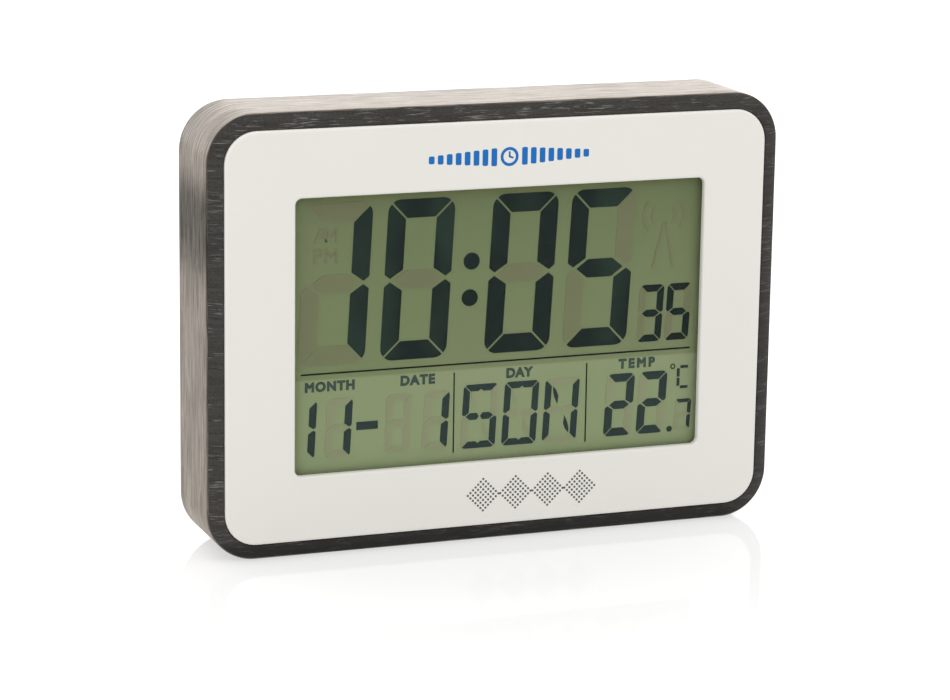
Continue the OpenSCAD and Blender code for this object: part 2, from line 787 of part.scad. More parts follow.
module bay_cuts() {
  half = bay_w / 2;
  box([bay_x - half, bay_floor_y, bay_bottom], [bay_x + half, back_y + 1, bay_bottom + bay_l]);
  box([bay_x - half - door_lap, back_y - door_t - tiny, bay_bottom - door_foot],
    [bay_x + half + door_lap, back_y + 1, bay_bottom + bay_l + door_lap]);
  box([bay_x - half - door_lap, door_pivot_y - door_pivot_r - fit, bay_bottom - door_foot],
    [bay_x + half + door_lap, back_y + 1, door_pivot_z + door_pivot_r + fit]);
  translate([bay_x - half - door_lap - door_pin_l, door_pivot_y, door_pivot_z]) rotate([0, 90, 0])
    cylinder(h = bay_w + 2 * (door_lap + door_pin_l), r = door_pin_r + slip);
  // Finger nick over the door's upper edge
  translate([bay_x, back_y + 4.6, bay_bottom + bay_l + door_lap]) rotate([0, 90, 0])
    cylinder(h = 12, r = 5.6, center = true);
}

module stand_block() {
  half = stand_pocket_w / 2 + stand_wall;
  box([-half, stand_floor_y - stand_wall, stand_foot - fit - stand_wall],
    [half, cover_y + tiny, stand_pivot_z + stand_heel + 1 + stand_wall]);
  box([-half, heel_floor_y - stand_wall, stand_pivot_z - stand_heel - stand_wall],
    [half, cover_y + tiny, stand_pivot_z + stand_heel + 1 + stand_wall]);
}

module stand_cuts() {
  half = stand_pocket_w / 2;
  box([-half, stand_floor_y, stand_foot - fit], [half, back_y + 1, stand_pivot_z + stand_heel + 1]);
  box([-half, heel_floor_y, stand_pivot_z - stand_heel],
    [half, back_y + 1, stand_pivot_z + stand_heel + 1]);
  translate([-half - stand_pin_l, stand_pivot_y, stand_pivot_z]) rotate([0, 90, 0])
    cylinder(h = stand_pocket_w + 2 * stand_pin_l, r = stand_pin_r + slip);
  // Finger scoop under the free end
  translate([0, back_y + 5, stand_foot]) rotate([0, 90, 0]) cylinder(h = 18, r = 7, center = true);
}

module keyhole_block() {
  half = keyhole_r + 3;
  box([-half, cover_y - keyhole_depth, keyhole_z - half],
    [half, cover_y + tiny, keyhole_z + keyhole_slot_l + keyhole_slot_r + 1.5]);
}

module keyhole_cuts() {
  half = keyhole_r + 1.5;
  peg(0, keyhole_z, cover_y - 1, back_y + 1, keyhole_r);
  peg(0, keyhole_z + keyhole_slot_l, cover_y - 1, back_y + 1, keyhole_slot_r);
  box([-keyhole_slot_r, cover_y - 1, keyhole_z],
    [keyhole_slot_r, back_y + 1, keyhole_z + keyhole_slot_l]);
  box([-half, cover_y - keyhole_depth + 1.5, keyhole_z - half],
    [half, cover_y, keyhole_z + keyhole_slot_l + keyhole_slot_r]);
}

module button_cuts() {
  slab(back_y - button_recess, button_recess + 1)
    rounded(button_board_w + 2, (button_count - 1) * button_pitch + 16, 4, [button_x, button_mid_z]);
  for (i = [0:button_count - 1]) slab(button_pad_y - 1, button_pad_t + button_recess + 2)
    stadium(button_w + 2 * fit, button_h + 2 * fit, [button_x, button_z(i)]);
}

module rear_cover() {
  vent_w = 13;
  color([0.16, 0.16, 0.17]) difference() {
    union() {
      cover_shell();
      bay_block();
      stand_block();
      keyhole_block();
      slab(button_pad_y, cover_y + tiny - button_pad_y)
        rounded(button_board_w + 4, (button_count - 1) * button_pitch + 18, 5, [button_x, button_mid_z]);
      for (z = button_screw_zs)
        peg(button_x, z, button_board_y + board_t, cover_y, small_post_r);
      for (x = [-1, 1], z = case_screw_zs)
        peg(x * case_screw_x, z, case_joint_y, cover_y, case_tube_r);
      peg(bay_x, buzzer_z, cover_y - buzzer_ledge - 1, cover_y, buzzer_r + slip + buzzer_wall);
      for (x = [-1, 1])
        box([button_x + x * (sensor_r + 1.1) - 1, sensor_y - 1, sensor_z - sensor_l / 2],
          [button_x + x * (sensor_r + 1.1) + 1, cover_y + tiny, sensor_z + sensor_l / 2]);
    }
    for (x = [-1, 1], z = case_screw_zs) {
      peg(x * case_screw_x, z, case_joint_y - 1, case_seat_y + 1, case_screw_r + fit);
      peg(x * case_screw_x, z, case_seat_y, back_y + 1, case_head_r + 0.4);
    }
    bay_cuts();
    stand_cuts();
    keyhole_cuts();
    button_cuts();
    for (z = button_screw_zs)
      peg(button_x, z, button_board_y, button_board_y + button_screw_l + 1, small_screw_r + slip);
    peg(bay_x, buzzer_z, cover_y - buzzer_ledge - 2, cover_y, buzzer_r - 1.2);
    peg(bay_x, buzzer_z, cover_y - buzzer_ledge - 2, cover_y - buzzer_ledge, buzzer_r + slip);
    peg(bay_x, buzzer_z, cover_y - 1, back_y + 1, grille_r);
    for (ring = [1, 2], k = [0:6 * ring - 1])
      peg(bay_x + 3 * ring * cos(60 * k / ring), buzzer_z + 3 * ring * sin(60 * k / ring), cover_y - 1,
        back_y + 1, grille_r);
    for (i = [-2:2]) box([button_x - vent_w / 2, cover_y - tiny, sensor_z + 3 * i - 0.7],
      [button_x + vent_w / 2, back_y + 1, sensor_z + 3 * i + 0.7]);
  }
}

module case_screws() {
  color([0.75, 0.75, 0.76]) for (x = [-1, 1], z = case_screw_zs)
    screw(x * case_screw_x, z, case_seat_y, case_screw_l, case_screw_r, case_head_r, case_head_t);
}

module battery_door() {
  color([0.17, 0.17, 0.18]) difference() {
    union() {
      box([bay_x - door_w / 2, back_y - door_t, door_pivot_z], [bay_x + door_w / 2, back_y, door_top]);
      translate([bay_x - door_w / 2, door_pivot_y, door_pivot_z]) rotate([0, 90, 0])
        cylinder(h = door_w, r = door_pivot_r);
      translate([bay_x - door_w / 2 - door_gap - door_pin_l + 0.1, door_pivot_y, door_pivot_z])
        rotate([0, 90, 0]) cylinder(h = door_w + 2 * (door_gap + door_pin_l - 0.1), r = door_pin_r);
    }
    for (i = [0:4]) box([bay_x - 7, back_y - 0.5, door_top - 6 - 2 * i],
      [bay_x + 7, back_y + 1, door_top - 5 - 2 * i]);
  }
}

module stand_leg() {
  half = stand_w / 2;
  pin = stand_pocket_w / 2 + stand_pin_l - 0.2;
  low_y = stand_pivot_y - stand_pivot_r;
  high_y = stand_pivot_y + stand_pivot_r;
  relief = 1.2;
  color([0.17, 0.17, 0.18]) difference() {
    union() {
      box([-half, low_y, stand_foot], [half, high_y, stand_pivot_z]);
      translate([-half, stand_pivot_y, stand_pivot_z]) rotate([0, 90, 0])
        cylinder(h = stand_w, r = stand_pivot_r);
      box([-half, low_y, stand_pivot_z], [half, stand_pivot_y, stand_pivot_z + stand_heel]);
      translate([-pin, stand_pivot_y, stand_pivot_z]) rotate([0, 90, 0])
        cylinder(h = 2 * pin, r = stand_pin_r);
    }
    slab(high_y - relief, relief + 1)
      rounded(stand_w - 12, stand_pivot_z - stand_foot - 16, 4, [0, (stand_pivot_z + stand_foot) / 2]);
  }
}

// ---- Batteries ----

module cell(x, up) {
  button_l = 1.3;
  button_r = 2.75;
  base_z = bay_bottom + contact_t + (up ? spring_l : 0);
  body_z = base_z + (up ? 0 : button_l);
  translate([x, cell_y, 0]) {
    translate([0, 0, body_z]) cylinder(h = cell_l - button_l, r = cell_d / 2);
    translate([0, 0, up ? body_z + cell_l - button_l - tiny : base_z])
      cylinder(h = button_l + tiny, r = button_r);
  }
}

cell_x = [bay_x - (cell_d + cell_gap) / 2, bay_x + (cell_d + cell_gap) / 2];

module left_battery() {
  color([0.16, 0.3, 0.55]) cell(cell_x[0], true);
}

module right_battery() {
  color([0.16, 0.3, 0.55]) cell(cell_x[1], false);
}

module battery_springs() {
  wire_r = 0.4;
  turns = 3.5;
  steps = 42;
  base_r = cell_d / 2 - 2.65;
  coil = [for (i = [0:steps]) let (s = i / steps, r = base_r - 1.6 * s, a = 360 * turns * s)
    [r * cos(a), r * sin(a), wire_r + s * (spring_l - 2 * wire_r)]];
  color([0.8, 0.8, 0.8]) {
    translate([cell_x[0], cell_y, bay_bottom + contact_t]) wire(coil, wire_r, 6);
    translate([cell_x[1], cell_y, bay_bottom + bay_l - contact_t]) rotate([180, 0, 0])
      wire(coil, wire_r, 6);
  }
}

module battery_plates() {
  half = cell_d / 2 - 1.25;
  top = bay_bottom + bay_l;
  color([0.8, 0.8, 0.8]) {
    box([cell_x[0] - half, cell_y - half, bay_bottom],
      [cell_x[1] + half, cell_y + half, bay_bottom + contact_t]);
    for (x = cell_x) box([x - half, cell_y - half, top - contact_t], [x + half, cell_y + half, top]);
  }
}

// ---- Radio, buzzer and sensor ----

module antenna_rod() {
  color([0.15, 0.14, 0.14]) translate([-antenna_l / 2, antenna_y, antenna_z]) rotate([0, 90, 0])
    cylinder(h = antenna_l, r = antenna_r);
}

module antenna_coil() {
  color([0.72, 0.4, 0.2]) translate([-coil_l / 2, antenna_y, antenna_z]) rotate([0, 90, 0])
    difference() {
      cylinder(h = coil_l, r = coil_r);
      translate([0, 0, -1]) cylinder(h = coil_l + 2, r = antenna_r + slip);
    }
}

module antenna_clips() {
  clip_r = antenna_r + 1.4;
  color([0.9, 0.9, 0.88]) for (x = [-1, 1]) difference() {
    union() {
      translate([x * (antenna_l / 2 - 6) - clip_t / 2, antenna_y, antenna_z]) rotate([0, 90, 0])
        cylinder(h = clip_t, r = clip_r);
      box([x * (antenna_l / 2 - 6) - clip_t / 2, antenna_y, antenna_z - 3],
        [x * (antenna_l / 2 - 6) + clip_t / 2, cover_y, antenna_z + 3]);
    }
    translate([-antenna_l / 2 - 1, antenna_y, antenna_z]) rotate([0, 90, 0])
      cylinder(h = antenna_l + 2, r = antenna_r + slip);
  }
}

module buzzer_disc() {
  color([0.8, 0.65, 0.3]) peg(bay_x, buzzer_z, buzzer_y, buzzer_y + buzzer_disc_t, buzzer_r);
}

module buzzer_ceramic() {
  color([0.9, 0.88, 0.82]) peg(bay_x, buzzer_z, buzzer_y - ceramic_t, buzzer_y, ceramic_r);
}

module temperature_sensor() {
  color([0.1, 0.1, 0.1]) translate([button_x, sensor_y, sensor_z - sensor_l / 2]) union() {
    cylinder(h = sensor_l - sensor_r, r = sensor_r);
    translate([0, 0, sensor_l - sensor_r]) sphere(r = sensor_r);
  }
}

// ---- Wires ----

lead_r = 0.6;

// Wire between a piece and the back of the main board
module lead(from, out, x, z, rise = 6, bend = [0, 0, 0]) {
  wire(route(from, out, [0, rise, 0], [x, board_back_y, z], bend), lead_r);
}

module battery_wires() {
  y = bay_floor_y - bay_floor_t;
  z = bay_bottom + bay_l - 4;
  color([0.7, 0.1, 0.1]) lead([cell_x[0], y, z], [0, -2, 0], 30, board_bottom + board_h - 6, 2);
  color([0.08, 0.08, 0.08]) lead([cell_x[1], y, z], [0, -2, 0], 34, board_bottom + board_h - 10, 2);
}

module buzzer_wires() {
  z = board_bottom + board_h - 4;
  color([0.7, 0.1, 0.1]) lead([bay_x - 3, buzzer_y - ceramic_t, buzzer_z], [0, -8, 0], 24, z);
  color([0.08, 0.08, 0.08]) lead([bay_x - 8.5, buzzer_y, buzzer_z], [0, -8, 0], 20, z);
}

module sensor_wires() {
  past_board = [button_board_w / 2 + 2, 0, 0];
  color([0.2, 0.2, 0.2]) for (k = [-1, 1])
    lead([button_x, sensor_y + 0.75 * k, sensor_z - sensor_l / 2], [0, 0, -2], -34 + 2 * k,
      board_bottom + board_h - 4, bend = past_board);
}

module antenna_wires() {
  color([0.72, 0.4, 0.2]) for (k = [-1, 1])
    lead([6 * k, antenna_y - coil_r, antenna_z], [0, -4, 0], 6 * k, board_bottom + board_h - 4);
}

module button_wires() {
  color([0.6, 0.6, 0.62]) for (k = [0:3])
    wire(route([button_x + 2 + 1.4 * k, button_board_y, button_mid_z], [0, -5, 0], [0, 5, 0],
      [button_x + 12 + 1.4 * k, board_back_y, board_bottom + 30]), lead_r);
}

wood_frame();
front_panel();
lcd_gasket();
front_polarizer();
front_glass();
lcd_figures();
lcd_idle_figures();
rear_glass();
reflector_film();
lcd_bracket();
bracket_screws();
contact_strip();
main_board();
board_screws();
clock_chip();
quartz_crystal();
board_parts();
button_board();
button_board_screws();
switch_bodies();
rear_cover();
case_screws();
battery_door();
left_battery();
right_battery();
battery_springs();
battery_plates();
stand_leg();
antenna_rod();
antenna_coil();
antenna_clips();
buzzer_disc();
buzzer_ceramic();
temperature_sensor();
battery_wires();
buzzer_wires();
sensor_wires();
antenna_wires();
button_wires();
time_button();
alarm_button();
plus_button();
minus_button();
snooze_button();
unit_button();
time_plunger();
alarm_plunger();
plus_plunger();
minus_plunger();
snooze_plunger();
unit_plunger();
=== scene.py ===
"""Looks of a desk clock with a dark wood-grain sleeve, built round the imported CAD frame."""

import math

import bpy
from mathutils import Matrix, Vector


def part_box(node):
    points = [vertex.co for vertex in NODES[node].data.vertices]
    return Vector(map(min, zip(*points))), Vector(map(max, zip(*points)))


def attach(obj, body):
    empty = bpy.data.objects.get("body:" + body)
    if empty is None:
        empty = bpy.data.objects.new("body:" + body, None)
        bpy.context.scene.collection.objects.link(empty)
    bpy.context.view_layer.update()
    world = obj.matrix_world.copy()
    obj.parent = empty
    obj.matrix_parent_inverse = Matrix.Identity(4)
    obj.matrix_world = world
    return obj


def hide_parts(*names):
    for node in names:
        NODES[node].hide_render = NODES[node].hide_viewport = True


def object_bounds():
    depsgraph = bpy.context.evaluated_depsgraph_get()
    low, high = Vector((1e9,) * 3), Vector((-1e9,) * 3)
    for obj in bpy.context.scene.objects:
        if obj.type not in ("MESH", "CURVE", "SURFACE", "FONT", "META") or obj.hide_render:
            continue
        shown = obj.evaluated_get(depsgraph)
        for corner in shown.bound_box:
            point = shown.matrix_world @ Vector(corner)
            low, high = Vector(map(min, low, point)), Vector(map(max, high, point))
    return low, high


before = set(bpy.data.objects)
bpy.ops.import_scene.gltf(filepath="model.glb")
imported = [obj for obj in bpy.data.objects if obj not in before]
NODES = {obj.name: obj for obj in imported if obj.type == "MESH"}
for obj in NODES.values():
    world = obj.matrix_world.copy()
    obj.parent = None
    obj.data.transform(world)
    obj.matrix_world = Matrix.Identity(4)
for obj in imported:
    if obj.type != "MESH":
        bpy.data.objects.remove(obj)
cad_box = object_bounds()

MM = 0.001
CAD_LOW, CAD_HIGH = [corner / MM for corner in cad_box]  # in millimetres


def extent(node):
    """Lowest and highest corner of a CAD node, in millimetres."""
    return [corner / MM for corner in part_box(node)]


def add_object(name, data):
    made = bpy.data.objects.new(name, data)
    bpy.context.scene.collection.objects.link(made)
    return made


# Heights on the display, worked out from the foot of its figures.
FIGURES_FOOT = extent("lcd_figures")[0].z
LOWER_FIGURES_TOP = FIGURES_FOOT + 24.0
FIELD_STEP = FIGURES_FOOT + 26.75
RULE_HEIGHT = FIGURES_FOOT + 28.65

RING_RISE = 2.0  # how far the ring stands in front of the sleeve's edge
PRINT_THICKNESS = 0.02
LABEL_THICKNESS = 0.08  # of the words on the display


# ---------------------------------------------------------------- camera

CAMERA_AT = Vector((-0.37388, -0.97225, 0.29802))
CAMERA_AIM = Vector((-0.00740, -0.01370, 0.06180))
CAMERA_ROLL = math.radians(0.844)
CAMERA_LENS = 126.97


def make_camera():
    data = bpy.data.cameras.new("camera")
    data.lens = CAMERA_LENS
    data.sensor_width = 36.0
    data.clip_start = 0.01
    data.clip_end = 50.0
    camera = add_object("camera", data)
    turn = (CAMERA_AIM - CAMERA_AT).to_track_quat("-Z", "Y").to_matrix()
    turn = turn @ Matrix.Rotation(CAMERA_ROLL, 3, "Z")
    camera.matrix_world = Matrix.Translation(CAMERA_AT) @ turn.to_4x4()
    bpy.context.scene.camera = camera


# ---------------------------------------------------------------- shader helpers

class Shader:
    """A Principled material, with short ways to add nodes. Coordinates are in millimetres."""

    def __init__(self, name, color=(0.8, 0.8, 0.8), roughness=0.5, **sockets):
        self.material = bpy.data.materials.new(name)
        self.material.use_nodes = True
        self.tree = self.material.node_tree
        self.surface = self.tree.nodes["Principled BSDF"]
        self.set("Base Color", (*color, 1.0))
        self.set("Roughness", roughness)
        for socket, value in sockets.items():
            self.set(socket.replace("_", " "), value)
        self.material.diffuse_color = (*color, 1.0)

    def set(self, socket, value):
        self.surface.inputs[socket].default_value = value

    def node(self, kind, values=(), **settings):
        made = self.tree.nodes.new("ShaderNode" + kind)
        for key, value in settings.items():
            setattr(made, key, value)
        for index, value in values:
            self.feed(made.inputs[index], value)
        return made

    def feed(self, socket, value):
        if isinstance(value, bpy.types.NodeSocket):
            self.tree.links.new(value, socket)
        else:
            socket.default_value = value

    def drive(self, socket, value):
        """Feeds a socket of the surface."""
        self.feed(self.surface.inputs[socket], value)

    def math(self, operation, a, b=0.0, c=0.0):
        return self.node("Math", [(0, a), (1, b), (2, c)], operation=operation).outputs[0]

    def product(self, first, *others):
        """The values multiplied together."""
        for other in others:
            first = self.math("MULTIPLY", first, other)
        return first

    def scaled(self, place, stretch, shift=(0, 0, 0)):
        """A place divided along each axis by stretch, and then shifted."""
        scale = tuple(1 / s for s in stretch)
        values = [("Vector", place), ("Scale", scale), ("Location", shift)]
        return self.node("Mapping", values).outputs[0]

    def moved(self, place, **offsets):
        """A place moved along x, y or z by amounts that vary over the surface."""
        values = [(axis.upper(), amount) for axis, amount in offsets.items()]
        offset = self.node("CombineXYZ", values).outputs[0]
        return self.node("VectorMath", [(0, place), (1, offset)], operation="ADD").outputs[0]

    def position(self, stretch=(1, 1, 1), shift=(0, 0, 0)):
        """Place on the piece, divided along each axis by stretch."""
        coords = self.node("TexCoord").outputs["Object"]
        return self.scaled(coords, [MM * s for s in stretch], shift)

    def axis(self, name):
        """One coordinate of the place on the piece, in millimetres."""
        split = self.node("SeparateXYZ", [(0, self.position())])
        return split.outputs["XYZ".index(name)]

    def grain(self, stretch=(1, 1, 1), shift=(0, 0, 0)):
        """Place along and across the film, from the piece's own map."""
        coords = self.node("UVMap", uv_map="film").outputs[0]
        return self.scaled(coords, stretch, shift)

    def noise(self, place, scale=1.0, detail=3.0, roughness=0.55):
        values = [("Vector", place), ("Scale", scale), ("Detail", detail), ("Roughness", roughness)]
        return self.node("TexNoise", values).outputs["Fac"]

    def ramp(self, value, *stops, interpolation="LINEAR"):
        """Colour by value; each stop is (place, colour)."""
        made = self.node("ValToRGB", [(0, value)])
        bar = made.color_ramp
        bar.interpolation = interpolation
        while len(bar.elements) < len(stops):
            bar.elements.new(0.5)
        for element, (place, color) in zip(bar.elements, stops):
            element.position = place
            element.color = (*color, 1.0)
        return made.outputs[0]

    def remap(self, value, low, high, to_low=0.0, to_high=1.0, smooth=True):
        """The value between low and high, as one between to_low and to_high."""
        kind = "SMOOTHSTEP" if smooth else "LINEAR"
        values = [("Value", value), (1, low), (2, high), (3, to_low), (4, to_high)]
        return self.node("MapRange", values, interpolation_type=kind).outputs[0]

    def mix(self, amount, a, b, kind="MIX"):
        made = self.node("Mix", data_type="RGBA", blend_type=kind)
        for index, value in ((0, amount), (6, a), (7, b)):
            if isinstance(value, tuple) and len(value) == 3:
                value = (*value, 1.0)
            self.feed(made.inputs[index], value)
        return made.outputs[2]

    def bump(self, height, depth_mm):
        """Relief of that depth in millimetres, laid over any that came before."""
        made = self.node("Bump", [("Height", height), ("Distance", depth_mm * MM)])
        normal = self.surface.inputs["Normal"]
        if normal.is_linked:
            self.feed(made.inputs["Normal"], normal.links[0].from_socket)
        self.feed(normal, made.outputs[0])


def shade(color, factor):
    return tuple(min(1.0, c * factor) for c in color)


# ---------------------------------------------------------------- materials

def moulded(name, color, roughness=0.45, texture_mm=0.35, depth_mm=0.02, clouds=0.06):
    """Moulded plastic: a fine spark-eroded texture, faint clouds of tone, gloss that varies a little."""
    m = Shader(name, color, roughness)
    fine = m.noise(m.position(), 1 / texture_mm, 2.0)
    cloud = m.noise(m.position(shift=(7, 3, 5)), 0.05, 3.0)
    m.drive("Base Color", m.ramp(cloud, (0.3, shade(color, 1 - clouds)), (0.7, shade(color, 1 + clouds))))
    m.drive("Roughness", m.remap(cloud, 0.3, 0.7, roughness - 0.025, roughness + 0.035))
    m.bump(fine, depth_mm)
    return m.material


def panel_plastic():
    """Warm white front moulding with a satin face."""
    color = (0.720, 0.708, 0.666)
    m = Shader("panel_plastic", color, 0.48)
    m.set("Specular IOR Level", 0.25)
    fine = m.noise(m.position(), 4.0, 2.0)
    cloud = m.noise(m.position(), 0.02, 2.0)
    m.drive("Base Color", m.ramp(cloud, (0.3, shade(color, 0.99)), (0.7, shade(color, 1.01))))
    m.drive("Roughness", m.remap(fine, 0.3, 0.7, 0.44, 0.52))
    m.bump(fine, 0.006)
    return m.material


def film_tone(m, place_fine, place_line, place_patch, dark, mid, light, patch):
    """Printed wood film: fibres, dark pores and slow patches of tone."""
    fibre = m.noise(place_fine, 1.0, 4.0, 0.6)
    line = m.noise(place_line, 1.0, 3.0, 0.6)
    slow = m.noise(place_patch, 1.0, 2.0)
    mixed = m.math("ADD", m.product(fibre, 0.55), m.product(line, 0.45))
    tone = m.ramp(mixed, (0.36, dark), (0.5, mid), (0.63, light))
    return m.mix(m.remap(slow, 0.5, 0.72), tone, patch, "MULTIPLY"), mixed


def wood_side():
    """The film round the outside of the sleeve, with its grain along the sleeve."""
    m = Shader("wood_side", (0.12, 0.1, 0.09), 0.42)
    m.set("Specular Tint", (1.0, 0.93, 0.85, 1.0))
    m.set("Sheen Roughness", 0.45)
    m.set("Sheen Tint", (1.0, 0.78, 0.56, 1.0))
    wave = m.noise(m.grain((70, 9, 1)), 1.0, 1.0)
    place = m.moved(m.grain(), y=m.product(m.math("SUBTRACT", wave, 0.5), 3.0))

    def at(along, across, shift=0.0):
        return m.scaled(place, (along, across, 1), (shift, shift, 0))

    dark, mid, light = (0.012, 0.010, 0.008), (0.080, 0.064, 0.048), (0.23, 0.19, 0.148)
    tone, relief = film_tone(m, at(14, 0.36), at(26, 0.95, 4.0), at(60, 14, 2.0),
                             dark, mid, light, (0.66, 0.7, 0.74))
    crisp = m.remap(m.noise(at(16, 0.56, 12.0), 1.0, 3.0, 0.65), 0.5, 0.59)
    tone = m.mix(m.product(crisp, 0.6), tone, (0.02, 0.016, 0.013))
    pore = m.remap(m.noise(at(6, 0.3, 9.0), 1.0, 2.0), 0.62, 0.7)

    # Painted sheen: the film's shine is turned down towards the back and up on top past the left corner.
    side, depth, height = m.axis("X"), m.axis("Y"), m.axis("Z")
    behind = m.remap(depth, CAD_HIGH.y - 7.0, CAD_HIGH.y, 1.0, 0.5)
    top = m.remap(height, CAD_HIGH.z - 14.0, CAD_HIGH.z - 1.0, 0.0, 0.4)
    past_corner = m.remap(side, CAD_LOW.x + 1.0, CAD_LOW.x + 18.0, -1.4, 1.0)
    upper = m.math("ADD", m.product(top, past_corner), 1.0)
    sheen = m.product(m.remap(crisp, 0.0, 1.0, 0.56, 0.1), behind, upper)

    # Painted dark reflection on the left side, under its upper corner: darker colour, rougher, with less
    # shine.
    dark_reflection_foot, dark_reflection_top = 74.0, 126.0
    patch = m.product(m.remap(height, dark_reflection_foot, dark_reflection_foot + 30.0),
                      m.remap(height, dark_reflection_top, dark_reflection_top - 18.0),
                      m.remap(side, CAD_LOW.x + 6.0, CAD_LOW.x + 1.0))
    # The painted dark reflection darkens the colour.
    tone = m.mix(m.product(patch, 0.5), tone, (0.24, 0.28, 0.3), "MULTIPLY")

    m.drive("Base Color", m.mix(pore, tone, (0.036, 0.032, 0.03)))
    roughness = m.remap(relief, 0.35, 0.65, 0.46, 0.36)
    # The painted dark reflection also makes the film rougher there.
    m.drive("Roughness", m.math("ADD", roughness, m.product(patch, 0.14)))
    # The painted sheen sets the shine, turned down further in the painted dark reflection.
    m.drive("Specular IOR Level", m.product(sheen, m.remap(patch, 0.0, 1.0, 1.0, 0.3)))
    m.drive("Sheen Weight", m.product(m.remap(patch, 0.0, 1.0, 0.18, 0.0), behind))
    m.bump(relief, 0.05)
    m.bump(pore, -0.03)
    return m.material


def wood_front():
    """The film on the front ring, dark, with its grain level, pale broken lines across it, and painted
    shade towards its right side and bottom.
    """
    dark, mid, light = (0.017, 0.0155, 0.0135), (0.029, 0.0268, 0.0235), (0.044, 0.041, 0.037)
    m = Shader("wood_front", (0.04, 0.037, 0.034), 0.5)
    m.set("Specular IOR Level", 0.22)
    bend = m.noise(m.position((30, 30, 9)), 1.0, 2.0)
    place = m.moved(m.position(), z=m.product(m.math("SUBTRACT", bend, 0.5), 3.0))

    def at(along, across, shift=0.0):
        return m.scaled(place, (along, 40, across), (shift, 0, shift))

    tone, relief = film_tone(m, at(12, 0.3), at(28, 1.2, 3.0), at(50, 22, 6.0),
                             dark, mid, light, (0.72, 0.72, 0.74))
    speck = m.remap(m.noise(m.position(shift=(2, 9, 4)), 2.6, 3.0, 0.6), 0.4, 0.66, 0.0, 0.6)
    tone = m.mix(speck, tone, shade(mid, 1.9))
    streak = m.noise(at(6, 0.3, 5.0), 1.0, 2.0, 0.6)
    group = m.noise(at(7, 3.6, 8.0), 1.0, 2.0)
    pale = m.product(m.remap(streak, 0.56, 0.64), m.remap(group, 0.44, 0.58))
    tone = m.mix(pale, tone, (0.135, 0.132, 0.125))
    # Painted shade: the ring darker towards its right side and along the bottom.
    painted_shade = m.product(m.remap(m.axis("X"), CAD_HIGH.x - 12.0, CAD_HIGH.x - 3.0, 1.0, 0.62),
                       m.remap(m.axis("Z"), CAD_LOW.z + 2.0, CAD_LOW.z + 9.0, 0.2, 1.0))
    m.drive("Base Color", m.mix(1.0, tone, painted_shade, "MULTIPLY"))
    m.drive("Roughness", m.remap(relief, 0.35, 0.65, 0.56, 0.44))
    m.bump(relief, 0.04)
    m.bump(pale, 0.02)
    return m.material


def sleeve_core():
    """Black moulding under the film, seen on the back edge and inside."""
    return moulded("sleeve_core", (0.03, 0.029, 0.028), 0.5)


def by_field(m, height, lower, upper):
    """One tone on the display's lower field and another on the upper one."""
    return m.mix(m.remap(height, FIELD_STEP - 0.5, FIELD_STEP + 0.5), lower, upper)


def reflector():
    """Green-grey film behind the display, in two fields, with painted shadow under the window's top and
    left edges.
    """
    low, high = extent("front_polarizer")
    lap = 3.0
    window_left, window_top = low.x + lap, high.z - lap
    m = Shader("reflector_film", (0.2, 0.25, 0.14), 0.6)
    m.set("Specular IOR Level", 0.3)
    side, height = m.axis("X"), m.axis("Z")
    up_upper = m.remap(height, FIELD_STEP, window_top, smooth=False)
    upper = m.ramp(up_upper, (0.0, (0.170, 0.207, 0.094)), (0.55, (0.154, 0.191, 0.084)),
                   (1.0, (0.135, 0.167, 0.071)))
    up_lower = m.remap(height, low.z, FIELD_STEP, smooth=False)
    lower = m.ramp(up_lower, (0.0, (0.252, 0.304, 0.156)), (0.6, (0.242, 0.291, 0.150)),
                   (1.0, (0.240, 0.283, 0.149)))
    field = by_field(m, height, lower, upper)
    cloud = m.noise(m.position(shift=(3, 0, 9)), 0.02, 2.0)
    field = m.mix(m.remap(cloud, 0.35, 0.65), field, (0.95, 0.98, 0.92), "MULTIPLY")
    fine = m.noise(m.position(), 5.0, 2.0)
    field = m.mix(m.remap(fine, 0.3, 0.7, 0.0, 0.1), field, (0.8, 0.8, 0.8), "MULTIPLY")
    wave = m.noise(m.position((1, 1, 9), (3, 0, 9)), 0.4, 2.0)
    # Painted shadow: darker, greener bands under the window's top edge and along its left edge.
    painted_top_shadow = m.product(m.remap(m.math("SUBTRACT", window_top, height), 0.2, 3.0, 1.0, 0.0),
                         m.remap(wave, 0.2, 0.8, 0.75, 1.0))
    field = m.mix(painted_top_shadow, field, (0.116, 0.142, 0.044))
    painted_left_shadow = m.remap(m.math("SUBTRACT", side, window_left), 0.0, 4.0, 0.4, 0.0)
    field = m.mix(painted_left_shadow, field, (0.130, 0.168, 0.060))
    m.drive("Base Color", field)
    m.drive("Roughness", m.remap(fine, 0.3, 0.7, 0.5, 0.62))
    return m.material


def polarizer():
    """Satin grey-green film on the face of the display."""
    m = Shader("display_film", (0.16, 0.2, 0.16), 0.46, Alpha=0.03)
    fine = m.noise(m.position(), 9.0, 2.0)
    m.drive("Roughness", m.remap(fine, 0.3, 0.7, 0.4, 0.52))
    m.bump(fine, 0.004)
    return m.material


